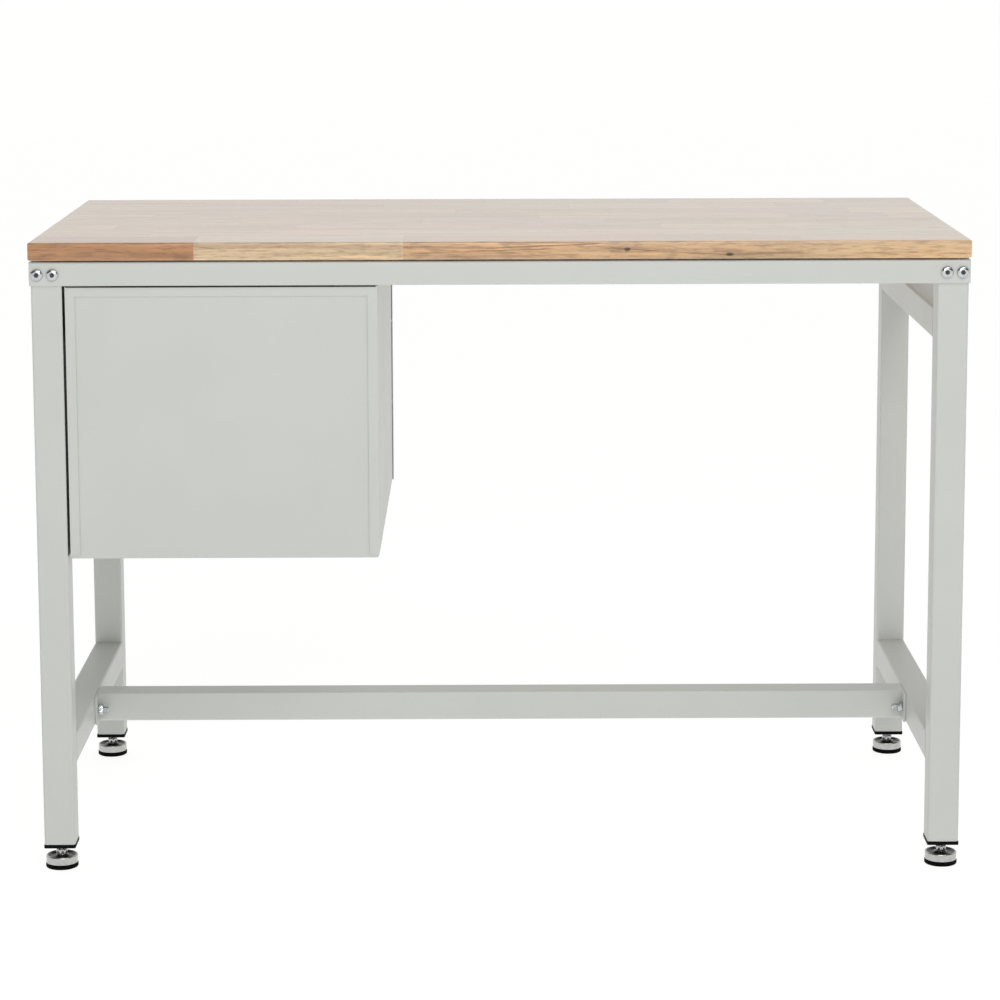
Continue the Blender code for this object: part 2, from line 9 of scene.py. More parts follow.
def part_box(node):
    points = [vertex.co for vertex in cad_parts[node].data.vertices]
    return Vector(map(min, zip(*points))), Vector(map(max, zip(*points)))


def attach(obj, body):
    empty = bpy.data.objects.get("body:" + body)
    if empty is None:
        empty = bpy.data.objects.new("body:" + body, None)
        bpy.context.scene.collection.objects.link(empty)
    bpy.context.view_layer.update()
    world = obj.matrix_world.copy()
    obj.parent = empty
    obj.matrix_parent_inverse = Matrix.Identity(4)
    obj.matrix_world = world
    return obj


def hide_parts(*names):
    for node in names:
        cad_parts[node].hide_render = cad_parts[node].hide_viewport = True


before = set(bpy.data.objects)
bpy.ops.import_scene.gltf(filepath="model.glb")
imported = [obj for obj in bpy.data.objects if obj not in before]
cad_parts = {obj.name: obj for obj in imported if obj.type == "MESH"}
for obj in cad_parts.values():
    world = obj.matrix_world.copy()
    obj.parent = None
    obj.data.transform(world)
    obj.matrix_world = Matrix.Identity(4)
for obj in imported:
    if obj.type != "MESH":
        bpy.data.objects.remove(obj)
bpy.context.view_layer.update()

SIDES = (("left", -1), ("right", 1))
ENDS = (("back", -1), ("front", 1))
DRAWERS = (1, 2, 3)

# Worktop: staves run along X, and each row is cut into blocks. A row lists where its blocks end
# and what tone each has, from left to right; the first row is the one at the back edge.
TONES = {
    "brown": (0.478, 0.235, 0.096),
    "tan": (0.643, 0.416, 0.224),
    "orange": (0.658, 0.417, 0.221),
    "peach": (0.735, 0.494, 0.270),
    "cream": (0.780, 0.570, 0.345),
    "grey": (0.640, 0.500, 0.310),
    "pink": (0.640, 0.420, 0.290),
}
BOARD_ROWS = (
    ((-0.389, "brown"), (-0.123, "cream"), (0.139, "orange"), (0.385, "tan"), (0.600, "peach")),
    ((-0.455, "tan"), (-0.180, "peach"), (0.085, "cream"), (0.330, "peach"), (0.600, "grey")),
    ((-0.510, "peach"), (-0.270, "tan"), (-0.010, "peach"), (0.215, "tan"), (0.455, "cream"),
     (0.600, "grey")),
    ((-0.350, "peach"), (-0.105, "tan"), (0.145, "pink"), (0.430, "tan"), (0.600, "orange")),
    ((-0.475, "peach"), (-0.215, "tan"), (0.055, "tan"), (0.398, "peach"), (0.534, "pink"),
     (0.600, "peach")),
    ((-0.330, "tan"), (-0.060, "peach"), (0.305, "orange"), (0.490, "pink"), (0.600, "cream")),
    ((-0.420, "peach"), (-0.165, "pink"), (0.100, "grey"), (0.395, "cream"), (0.600, "grey")),
    ((-0.290, "tan"), (-0.020, "pink"), (0.245, "grey"), (0.470, "cream"), (0.600, "pink")),
)
FACE_SHEEN_TONE = (0.68, 0.54, 0.41, 1.0)       # painted sheen: the pale tone the top face fades towards
UNDERSIDE_TONE = (0.60, 0.58, 0.55, 1.0)  # and what the underside does
FIGURE_BROWN = (0.170, 0.066, 0.024, 1.0)
BOARD_EDGE_RADIUS = 0.0022
GAP_HEIGHT = 0.0022               # rebate under the board's rim, a dark line above the rails
GAP_DEPTH = 0.014
# Small dark knots in the back edge: place, and half sizes along and across the grain
KNOTS = (((0.1618, -0.300, 0.8150), 0.0042, 0.0023), ((0.2919, -0.300, 0.8084), 0.0050, 0.0020))
# Brown figure in the back edge: (x, z) of its two ends, half its height, and how strong it is
FIGURE = (
    ((-0.389, 0.8205), (-0.123, 0.8195), 0.0046, 0.42),
    ((-0.300, 0.8110), (-0.123, 0.8128), 0.0018, 0.30),
    ((-0.470, 0.8100), (-0.389, 0.8085), 0.0040, 0.40),
    ((-0.123, 0.8195), (-0.005, 0.8170), 0.0022, 0.62),
    ((-0.110, 0.8105), (0.060, 0.8160), 0.0009, 0.80),
    ((-0.020, 0.8165), (0.128, 0.8232), 0.0009, 0.95),
    ((-0.060, 0.8065), (0.100, 0.8090), 0.0016, 0.40),
    ((0.000, 0.8235), (0.130, 0.8240), 0.0010, 0.70),
    ((0.139, 0.8165), (0.162, 0.8150), 0.0020, 0.80),
    ((0.162, 0.8150), (0.205, 0.8118), 0.0008, 0.95),
    ((0.205, 0.8118), (0.292, 0.8082), 0.0008, 0.80),
    ((0.270, 0.8150), (0.310, 0.8120), 0.0042, 0.40),
    ((0.292, 0.8085), (0.385, 0.8105), 0.0030, 0.45),
    ((0.450, 0.8100), (0.530, 0.8105), 0.0016, 0.30),
)

# Bolts: button heads with a hexagon socket
HEAD_HEIGHT = 0.0040
RAIL_DOME_RADIUS = 0.0080
STRETCHER_DOME_RADIUS = 0.0070
HEAD_CHAMFER = 0.0003             # at the seat
SOCKET_FLATS = 0.0052
SOCKET_DEPTH = 0.0024
SOCKET_CHAMFER = 0.0003
SOCKET_BANDS = (0, 1)             # bands of a head's skin inside its socket, which take the painted shade
DRILL_POINT = 0.0006              # cone below the socket
DOME_LAND = 0.0037                # radius of the flat round the socket
DOME_RIM = 0.0007                 # straight side of the head, above its seat
RAIL_PLAIN = 0.0020               # shank without a thread, under the head

# Threads: radius, pitch, and how far in and how long the chamfer at the end is
RAIL_THREAD = (0.0030, 0.0010, 0.0008, 0.0006)
STRETCHER_THREAD = (0.0040, 0.00125, 0.0009, 0.0007)
STEM_THREAD = (0.0050, 0.0015, 0.0012, 0.0010)
THREAD_DEPTH = 0.54               # share of the pitch
THREAD_FADE = 0.9                 # share of that depth which is cut all round where it fades out

# Nuts: the corners of each ring are cut off at a share of half the width over flats
NUT_FLATS = 0.0130
NUT_CHAMFER = 0.0009
NUT_FACE, NUT_SHOULDER, NUT_CORNER = 0.97, 1.04, 1 / cos(pi / 6)
SHOULDER_HEIGHT = NUT_CHAMFER * 0.4
NUT_SINK = (0.0006, 0.0005)       # countersink round the bolt: how wide and how deep
STRETCHER_NUT_HEIGHT = 0.0065
STRETCHER_STUB = 0.0080           # thread left free beyond the nut

# Levelling feet: heights from the bell's base, apart from the dish and the cone in its middle,
# which list (distance in from the side, height over the rim) and (radius, height over the rim)
BELL_TOP = 0.0106
BELL_CHAMFER = 0.0006
BELL_RIM = 0.0016                 # radius of the rolled rim
FOOT_NUT_LOW, FOOT_NUT_HIGH = 0.0112, 0.0180
FOOT_NUT_LOW_CHAMFER = NUT_CHAMFER * 0.5
FOOT_NUT_FACE = 0.96
NECK_INSET, NECK_LENGTH = 0.0007, 0.0004
DISH = ((0.0022, -0.0002), (0.0028, -0.0014), (0.0038, -0.0024))
CONE = ((0.0125, -0.0022), (0.0100, -0.0015), (0.0086, -0.0006), (0.0078, 0.0002))

# Rubber discs, heights from their base
PAD_HOLLOW = 0.0008
HOLLOW_RADIUS, HOLLOW_MOUTH = 0.0120, 0.0132
PAD_ROUND = 0.0020                # lower edge
PAD_GROOVE = 0.0039
GROOVE_LIP, GROOVE_DEPTH, GROOVE_HALF = 0.0002, 0.0006, 0.0003
PAD_CHAMFER = (0.0005, 0.0006)    # upper edge: how far in and how far down

# Leg caps
CAP_FLANGE = 0.0045
CAP_CORNER = 0.0025               # radius of the flange's corners
CAP_LOW_CHAMFER, CAP_HIGH_CHAMFER = 0.0003, 0.0002
CAP_BORE = 0.0054
BORE_CHAMFER, BORE_LAND = 0.0005, 0.0016
CAP_PLUG = 0.0177                 # half the width of the part inside the tube
PLUG_CORNER = 0.0012
PLUG_TIP = (0.0015, 0.0010)       # how far in the plug's end is, and the radius of its corners
CAP_RIBS = 4
RIB_DEPTH = 0.0009
RIB_MARGIN = 0.0010               # plain stretch before the first rib and after the last
RIB_PEAK, RIB_END = 0.35, 0.80    # shares of the ribs' pitch

# Drawer handles: flat bar
HANDLE_BAR = 0.0040
HANDLE_ARRIS = 0.0011
HANDLE_BEND = 0.0090

RING = 48                         # points round a turned part

# Painted shadow: boxes, as opposite corners, in which the paint is darkened for the shade in two
# narrow slots round the cabinet's back
CABINET_RIM_SHADOW = ((-0.5535, -0.300, 0.7671), (-0.1585, -0.262, 0.7700))
LEG_SLOT_SHADOW = ((-0.5580, -0.2943, 0.4190), (-0.5500, -0.2500, 0.7690))
SLOT_SHADE = 0.03

# Broken edges of sheet and of tube
SHEET_EDGE = 0.0004
TUBE_EDGE = 0.0005

# Colours and looks
PAINT_GREY = (0.535, 0.546, 0.518)
BOLT_ZINC = ((0.50, 0.53, 0.57), (0.62, 0.63, 0.63), 0.10)        # two tints, dullness
FOOT_ZINC = ((0.44, 0.44, 0.43), (0.53, 0.53, 0.51), 0.14)
# The dish's zinc is darkened: painted shade in the hollow under the leg cap
DISH_ZINC = ((0.16, 0.16, 0.15), (0.24, 0.24, 0.23), 0.28)
SLIDE_STEEL = ((0.60, 0.61, 0.62), (900.0, 9.0, 900.0))           # colour, scale of its lines
HANDLE_STEEL = ((0.74, 0.74, 0.73), (12.0, 12.0, 1400.0))
# Colour, least and greatest roughness, and the scale and depth of the grain
PLASTIC_BLACK = ((0.0022, 0.0022, 0.0023), 0.38, 0.52, 900.0, 0.00005)
RUBBER_BLACK = ((0.0014, 0.0014, 0.0014), 0.55, 0.75, 500.0, 0.00008)

# Studio: the radiance of its parts, and the directions (along Y or Z) between which each fades
GLOW = {"far wall": 0.79, "ceiling": 0.32, "near walls": 0.96}
FAR_WALL_FROM = (-0.2, 0.8)
NEAR_WALLS_TO = (0.08, 0.30)
CEILING_FROM = (0.25, 0.95)
FLOOR_GLOW = 0.885
FLOOR_TONES = (0.185, 0.190)
FLOOR_RADIUS = 150

# Softboxes: name, place, width, height, watts; they all face one point
SOFTBOXES = (
    ("centre_softbox", (0.0, -4.8, 2.1), 2.0, 1.6, 57),
    ("high_softbox", (1.7, -3.0, 4.0), 2.4, 2.0, 40),
    ("upper_softbox", (0.0, -3.4, 3.3), 3.0, 1.6, 21),
)
LIT_POINT = (0, 0, 0.5)

# Camera: radians, and millimetres for the lens and the sensor
CAMERA_PLACE = (-0.01395, -4.18448, 1.23232)
YAW, PITCH, ROLL = 0.00351, 0.14612, 0.00288
LENS, SENSOR = 110.735, 36
SHIFT = -0.130


# ---------------------------------------------------------------- shapes
def circle(radius, height, count=RING):
    """A level ring of points round Z."""
    return [
        Vector((radius * cos(2 * pi * i / count), radius * sin(2 * pi * i / count), height))
        for i in range(count)
    ]


def hexagon_radius(flats, angle):
    """Distance from the centre to the side of a hexagon in this direction."""
    return flats / 2 / cos(angle % (pi / 3) - pi / 6)


def hexagon(flats, height, limit=1.0, count=RING):
    """A level hexagonal ring whose corners are cut off at the radius limit."""
    points = []
    for i in range(count):
        angle = 2 * pi * i / count
        radius = min(hexagon_radius(flats, angle), limit)
        points.append(Vector((radius * cos(angle), radius * sin(angle), height)))
    return points


def nut(levels):
    """Rings of a nut at (height, share) levels; share says where the corners are cut off."""
    return [hexagon(NUT_FLATS, height, NUT_FLATS / 2 * share) for height, share in levels]


def thread(radius, pitch, low, high, count=RING, steps=8):
    """Rings up a right-hand V thread, which fades out over its first and its last turn."""
    depth = pitch * THREAD_DEPTH
    total = max(2, round((high - low) / pitch * steps))
    rings = []
    for k in range(total + 1):
        height = low + (high - low) * k / total
        fade = min(1.0, k / steps, (total - k) / steps)
        ring = []
        for i in range(count):
            turn = i / count
            phase = (height / pitch - turn) % 1.0
            groove = 1 - abs(2 * phase - 1)
            r = radius - depth * (groove * fade + (1 - fade) * THREAD_FADE)
            ring.append(Vector((r * cos(2 * pi * turn), r * sin(2 * pi * turn), height)))
        rings.append(ring)
    return rings


def threaded_end(kind, start, end):
    """Rings of a threaded stretch from start, up or down to its chamfered and closed end."""
    radius, pitch, inset, length = kind
    if end > start:
        rings = thread(radius, pitch, start, end - length)
    else:
        rings = thread(radius, pitch, end + length, start)[::-1]
    return rings + [circle(radius - inset, end), [Vector((0, 0, end))]]


def arc(centre, radius, start, end, steps):
    """(u, v) points on an arc, angles in quarter turns."""
    return [
        (
            centre[0] + radius * cos((start + (end - start) * i / steps) * pi / 2),
            centre[1] + radius * sin((start + (end - start) * i / steps) * pi / 2),
        )
        for i in range(steps + 1)
    ]


def turned(profile, count=RING):
    """Rings through (radius, height) points; a radius of 0 is a single point."""
    return [circle(r, z, count) if r > 0 else [Vector((0, 0, z))] for r, z in profile]


def rounded_rectangle(half_u, half_v, radius, height, steps=6):
    """A level rectangular ring with round corners, of 4 * (steps + 1) points."""
    points = []
    corners = ((1, 1), (-1, 1), (-1, -1), (1, -1))
    for quarter, (u, v) in enumerate(corners):
        centre = (u * (half_u - radius), v * (half_v - radius))
        bend = arc(centre, radius, quarter, quarter + 1, steps)
        points += [Vector((p, q, height)) for p, q in bend]
    return points


def loft(rings, closed=False, second=()):
    """A skin through rings of points. Rings of one point close an end, and other ends are capped.

    Bands between rings whose numbers are in second take the piece's second material.
    """
    shape = bmesh.new()
    made = [[shape.verts.new(p) for p in ring] for ring in rings]
    pairs = list(zip(made, made[1:]))
    if closed:
        pairs.append((made[-1], made[0]))
    for number, (a, b) in enumerate(pairs):
        for i in range(max(len(a), len(b))):
            corners = [a[i % len(a)], a[(i + 1) % len(a)], b[(i + 1) % len(b)], b[i % len(b)]]
            face = shape.faces.new(list(dict.fromkeys(corners)))
            face.material_index = int(number in second)
    if not closed:
        for ring in (made[0], made[-1]):
            if len(ring) > 1:
                shape.faces.new(ring)
    return shape


def placed(shape, matrix):
    """The shape, moved."""
    bmesh.ops.transform(shape, matrix=matrix, verts=shape.verts)
    return shape


def add_piece(name, shape, materials, body="bench", replaces=(), sharp=35):
    """A visible piece that rides on a body and may stand for CAD nodes."""
    bmesh.ops.recalc_face_normals(shape, faces=shape.faces)
    mesh = bpy.data.meshes.new(name)
    shape.to_mesh(mesh)
    shape.free()
    mesh.shade_smooth()
    mesh.set_sharp_from_angle(angle=sharp * pi / 180)
    for material in materials:
        mesh.materials.append(material)
    piece = bpy.data.objects.new(name, mesh)
    bpy.context.scene.collection.objects.link(piece)
    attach(piece, body)
    if replaces:
        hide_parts(*replaces)
    return piece


# ---------------------------------------------------------------- materials
def shader_node(tree, kind, inputs=None, **settings):
    """A new node; inputs maps its sockets to numbers, colours or other nodes' outputs."""
    node = tree.nodes.new(kind)
    for key, value in settings.items():
        setattr(node, key, value)
    for key, value in (inputs or {}).items():
        if isinstance(value, bpy.types.NodeSocket):
            tree.links.new(value, node.inputs[key])
        else:
            node.inputs[key].default_value = value
    return node


class Finish:
    """A material that is put together from shader nodes. Fixed values sit on the shader."""

    def __init__(self, name, **fixed):
        self.material = bpy.data.materials.new(name)
        self.material.use_nodes = True
        self.tree = self.material.node_tree
        self.shader = self.tree.nodes["Principled BSDF"]
        for key, value in fixed.items():
            socket = key.replace("_", " ").title().replace("Ior", "IOR")
            self.shader.inputs[socket].default_value = value
        places = self.node("ShaderNodeTexCoord").outputs
        self.place = places["Object"]
        self.facing = places["Normal"]

    def node(self, kind, inputs=None, **settings):
        return shader_node(self.tree, kind, inputs, **settings)

    def math(self, operation, a, b=0.0):
        return self.node("ShaderNodeMath", {0: a, 1: b}, operation=operation).outputs[0]

    def product(self, first, *others):
        result = first
        for other in others:
            result = self.math("MULTIPLY", result, other)
        return result

    def vector(self, operation, a, b=(0, 0, 0)):
        node = self.node("ShaderNodeVectorMath", {0: a, 1: b}, operation=operation)
        return node.outputs["Value" if operation in ("LENGTH", "DOT_PRODUCT") else "Vector"]

    def stretched(self, vector, scale):
        return self.vector("MULTIPLY", vector, scale)

    def noise(self, vector, scale, detail=2.0, roughness=0.5):
        node = self.node(
            "ShaderNodeTexNoise",
            {"Vector": vector, "Scale": scale, "Detail": detail, "Roughness": roughness},
        )
        return node.outputs["Fac"]

    def remap(self, value, low, high, to_low=0.0, to_high=1.0, smooth=False):
        node = self.node(
            "ShaderNodeMapRange",
            {
                "Value": value, "From Min": low, "From Max": high,
                "To Min": to_low, "To Max": to_high,
            },
            interpolation_type="SMOOTHSTEP" if smooth else "LINEAR",
        )
        return node.outputs["Result"]

    def mix(self, factor, a, b, blend="MIX"):
        inputs = {0: factor, 6: a, 7: b}
        return self.node("ShaderNodeMix", inputs, data_type="RGBA", blend_type=blend).outputs[2]

    def shaded(self, colour, value):
        """The colour, times a number."""
        colour = (*colour, 1.0) if isinstance(colour, tuple) else colour
        return self.mix(1.0, colour, self.combine(value, value, value), "MULTIPLY")

    def attribute(self, name):
        return self.node("ShaderNodeAttribute", attribute_name=name).outputs["Vector"]

    def split(self, vector):
        return self.node("ShaderNodeSeparateXYZ", {0: vector}).outputs

    def combine(self, x, y, z):
        return self.node("ShaderNodeCombineXYZ", {0: x, 1: y, 2: z}).outputs[0]

    def bump(self, height, distance, strength):
        inputs = {"Height": height, "Distance": distance, "Strength": strength}
        return self.node("ShaderNodeBump", inputs).outputs["Normal"]

    def finish(self, colour=None, roughness=None, normal=None):
        for socket, value in (("Base Color", colour), ("Roughness", roughness), ("Normal", normal)):
            if value is not None:
                self.tree.links.new(value, self.shader.inputs[socket])
        return self.material


def hardwood():
    """Edge-glued blocks: each block has its own tone, grain and lean of the rings."""
    f = Finish(
        "hardwood_finish", coat_weight=1.0, coat_roughness=0.20, coat_ior=1.5,
        specular_ior_level=0.3,
    )
    x, y, z = f.split(f.place)[:3]
    normal = f.split(f.facing)
    face = f.remap(normal[2], 0.6, 0.95)
    moved = f.vector("ADD", f.place, f.stretched(f.attribute("block_shift"), (9.0, 9.0, 9.0)))

    # Long fibres, broad streaks, clouds of colour, short flecks and dark vessels
    rings = growth_rings(f, x, y, z)
    fibres = f.noise(f.stretched(moved, (7.0, 260.0, 260.0)), 1.0, 4.0, 0.6)
    streaks = f.noise(f.stretched(moved, (2.2, 60.0, 60.0)), 1.0, 2.0, 0.5)
    clouds = f.noise(f.stretched(moved, (5.0, 22.0, 22.0)), 1.0, 2.0)
    vessels = f.noise(f.stretched(moved, (110.0, 1500.0, 1500.0)), 1.0, 1.0)
    vessels = f.remap(vessels, 0.64, 0.72, 0.0, 1.0)
    flecks = f.noise(f.stretched(moved, (42.0, 400.0, 400.0)), 1.0, 2.0, 0.6)
    flecks = f.remap(flecks, 0.48, 0.66, 1.08, 0.72)

    # Painted sheen: the top face is more even than the edges. Painted shade: its rounded arris is
    # darker
    texture = f.math("MULTIPLY", flecks, f.remap(fibres, 0.25, 0.75, 0.84, 1.24))
    texture = f.math("POWER", texture, f.remap(face, 0.0, 1.0, 1.0, 0.55))
    arris_shade = f.math("SUBTRACT", f.remap(normal[2], 0.2, 0.5), face)
    value = f.product(
        texture, f.remap(rings, 0.0, 1.0, 0.96, 1.03), f.remap(streaks, 0.3, 0.7, 0.90, 1.17),
        f.remap(clouds, 0.3, 0.7, 0.94, 1.06), f.remap(vessels, 0.0, 1.0, 1.0, 0.74),
        f.remap(arris_shade, 0.0, 1.0, 1.0, 0.74),
    )

    # End grain on the short ends is darker and shows no fibres
    end_grain = f.remap(f.math("ABSOLUTE", normal[0]), 0.75, 0.9)
    pores = f.noise(f.stretched(moved, (900.0, 900.0, 900.0)), 1.0, 1.0)
    end_value = f.product(
        f.remap(rings, 0.0, 1.0, 0.62, 0.86), f.remap(pores, 0.35, 0.65, 0.82, 1.1)
    )
    value = f.node(
        "ShaderNodeMix", {0: end_grain, 2: value, 3: end_value}, data_type="FLOAT"
    ).outputs[0]
    value = f.product(value, glue_lines(f, x, y), knots(f, fibres))

    colour = wood_tone(f, face, normal[2], streaks)
    figure = back_figure(f, (x, y, z), fibres, clouds)
    colour = f.mix(figure, f.shaded(colour, value), FIGURE_BROWN)
    roughness = f.remap(fibres, 0.2, 0.8, 0.34, 0.46)
    height = f.math(
        "SUBTRACT", f.math("MULTIPLY", fibres, 0.6), f.math("MULTIPLY", vessels, 0.5)
    )
    return f.finish(colour, roughness, f.bump(height, 0.00012, 0.5))


def growth_rings(f, x, y, z):
    """Growth rings round a pith that lies outside the block and leans across it."""
    shift = f.split(f.attribute("block_shift"))
    lean = f.split(f.attribute("block_lean"))
    ring_x = f.math("MULTIPLY", f.math("ADD", x, shift[0]), 0.12)
    ring_y = f.math("ADD", f.math("ADD", y, shift[1]), f.math("MULTIPLY", x, lean[0]))
    ring_z = f.math("ADD", f.math("ADD", z, shift[2]), f.math("MULTIPLY", x, lean[1]))
    return f.node(
        "ShaderNodeTexWave",
        {
            "Vector": f.combine(ring_x, ring_y, ring_z), "Scale": 62.0, "Distortion": 5.0,
            "Detail": 3.0, "Detail Scale": 0.35,
        },
        wave_type="RINGS", rings_direction="X",
    ).outputs["Fac"]


def wood_tone(f, face, normal_z, streaks):
    """The block's tone, warmer in its streaks, paler on the top face as painted sheen, and paler
    underneath.
    """
    warmth = f.mix(
        f.remap(streaks, 0.42, 0.62, 0.0, 0.55, smooth=True),
        (1.0, 1.0, 1.0, 1.0), (1.02, 0.90, 0.76, 1.0),
    )
    # Painted sheen: the top face fades towards a pale tone
    sheen_faded = f.mix(f.remap(face, 0.0, 1.0, 0.0, 0.42), f.attribute("block_tone"), FACE_SHEEN_TONE)
    colour = f.mix(1.0, sheen_faded, warmth, "MULTIPLY")
    underside = f.remap(normal_z, -0.95, -0.6, 0.7, 0.0)
    return f.mix(underside, colour, UNDERSIDE_TONE)


def glue_lines(f, x, y):
    """A hair of darker wood where blocks meet."""
    low = f.split(f.attribute("block_low"))
    high = f.split(f.attribute("block_high"))
    nearest = f.math(
        "MINIMUM",
        f.math("MINIMUM", f.math("SUBTRACT", x, low[0]), f.math("SUBTRACT", high[0], x)),
        f.math("MINIMUM", f.math("SUBTRACT", y, low[1]), f.math("SUBTRACT", high[1], y)),
    )
    return f.remap(nearest, 0.00008, 0.0004, 0.72, 1.0)


def knots(f, fibres):
    """Dark knots, with the fibres darkened along the grain beside them."""
    wobble = f.remap(fibres, 0.2, 0.8, 0.7, 1.3)
    shades = []
    for place, along, across in KNOTS:
        offset = f.vector("SUBTRACT", f.place, place)
        core = f.vector("LENGTH", f.stretched(offset, (1 / along, 0.25 / across, 1 / across)))
        shades.append(f.remap(f.math("MULTIPLY", core, wobble), 0.7, 1.3, 0.03, 1.0, True))
        halo = f.vector("LENGTH", f.stretched(offset, (0.07 / along, 0.2 / across, 0.45 / across)))
        shades.append(f.remap(halo, 0.3, 1.0, 0.80, 1.0, True))
    return f.product(*shades)


def back_figure(f, place, fibres, clouds):
    """How much brown figure there is at a place in the back edge."""
    x, y, z = place
    wander = f.math("MULTIPLY", f.math("SUBTRACT", clouds, 0.5), 0.006)
    strongest = 0.0
    for (x0, z0), (x1, z1), half, strength in FIGURE:
        slope = (z1 - z0) / (x1 - x0)
        line = f.math("ADD", f.math("MULTIPLY", x, slope), z0 - slope * x0)
        away = f.math("ABSOLUTE", f.math("ADD", f.math("SUBTRACT", z, line), wander))
        streak = f.product(
            f.remap(away, half * 0.3, half, strength, 0.0, smooth=True),
            f.remap(x, x0 - 0.004, x0 + 0.004, 0.0, 1.0, smooth=True),
            f.remap(x, x1 - 0.006, x1 + 0.006, 1.0, 0.0, smooth=True),
        )
        strongest = f.math("MAXIMUM", strongest, streak)
    broken = f.remap(fibres, 0.35, 0.6, 0.45, 1.0)
    return f.product(strongest, broken, f.remap(y, -0.2985, -0.292, 1.0, 0.0))


def inset(f, box):
    """How far inside a box a place is, which is negative outside it."""
    low, high = box
    depths = f.vector(
        "MINIMUM", f.vector("SUBTRACT", f.place, low), f.vector("SUBTRACT", high, f.place)
    )
    x, y, z = f.split(depths)[:3]
    return f.math("MINIMUM", f.math("MINIMUM", x, y), z)


def powder_coat(name, colour, painted_shadow_box=None):
    """Semi-gloss baked paint with an orange-peel skin and faint clouding, and a painted shadow
    inside the box.
    """
    f = Finish(name, specular_ior_level=0.4)
    clouds = f.noise(f.place, 9.0, 3.0)
    flecks = f.noise(f.place, 900.0, 1.0)
    value = f.product(
        f.remap(clouds, 0.3, 0.7, 0.985, 1.015), f.remap(flecks, 0.3, 0.7, 0.985, 1.015)
    )
    if painted_shadow_box:
        # Painted shadow: the paint is darkened inside the box, for the shade in a narrow slot
        value = f.product(value, f.remap(inset(f, painted_shadow_box), 0.0, 0.0002, 1.0, SLOT_SHADE))
    peel = f.noise(f.place, 420.0, 2.0, 0.55)
    waves = f.noise(f.place, 60.0, 1.0)
    height = f.math("ADD", peel, f.math("MULTIPLY", waves, 1.5))
    roughness = f.remap(clouds, 0.3, 0.7, 0.36, 0.44)
    return f.finish(f.shaded(colour, value), roughness, f.bump(height, 0.00006, 0.6))


def bright_zinc(name, cool, warm, dullness):
    """Polished zinc plate of two mottled tints, with turning marks and a few dull spots."""
    f = Finish(name, metallic=1.0)
    patches = f.noise(f.place, 160.0, 3.0)
    tint = f.mix(f.remap(patches, 0.35, 0.65), (*cool, 1.0), (*warm, 1.0))
    turning = f.noise(f.stretched(f.place, (300.0, 300.0, 4200.0)), 1.0, 2.0)
    roughness = f.math(
        "ADD", f.remap(patches, 0.3, 0.75, dullness, dullness + 0.14),
        f.remap(turning, 0.3, 0.7, 0.0, 0.05),
    )
    return f.finish(tint, roughness, f.bump(turning, 0.00002, 0.4))


def painted_socket_shade():
    """Walls of a socket: painted shade, dark and mottled, for the shade inside the hexagon socket.
    """
    f = Finish("socket_painted_shade", metallic=0.5)
    shade_mottle = f.noise(f.place, 700.0, 3.0)
    tint = f.mix(f.remap(shade_mottle, 0.35, 0.7), (0.030, 0.031, 0.034, 1.0), (0.090, 0.090, 0.092, 1.0))
    return f.finish(tint, f.remap(shade_mottle, 0.3, 0.7, 0.35, 0.6), f.bump(shade_mottle, 0.00003, 0.5))


def rolled_steel(name, colour, along):
    """Bare or thinly plated steel with fine lines along one direction."""
    f = Finish(name, metallic=1.0)
    lines = f.noise(f.stretched(f.place, along), 1.0, 3.0, 0.6)
    patches = f.noise(f.place, 35.0, 3.0)
    value = f.product(
        f.remap(lines, 0.3, 0.7, 0.93, 1.05), f.remap(patches, 0.3, 0.7, 0.95, 1.04)
    )
    roughness = f.math(
        "ADD", f.remap(lines, 0.3, 0.7, 0.24, 0.36), f.remap(patches, 0.3, 0.7, 0.0, 0.06)
    )
    return f.finish(f.shaded(colour, value), roughness, f.bump(lines, 0.00002, 0.5))


def dark_polymer(name, colour, low, high, grain, depth):
    """Moulded plastic or rubber with a little dust, whose grain varies its roughness."""
    f = Finish(name, specular_ior_level=0.06)
    texture = f.noise(f.place, grain, 2.0)
    dust = f.noise(f.place, 70.0, 4.0, 0.6)
    tint = f.shaded(colour, f.remap(dust, 0.35, 0.75, 0.9, 1.6))
    return f.finish(tint, f.remap(texture, 0.3, 0.7, low, high), f.bump(texture, depth, 0.7))


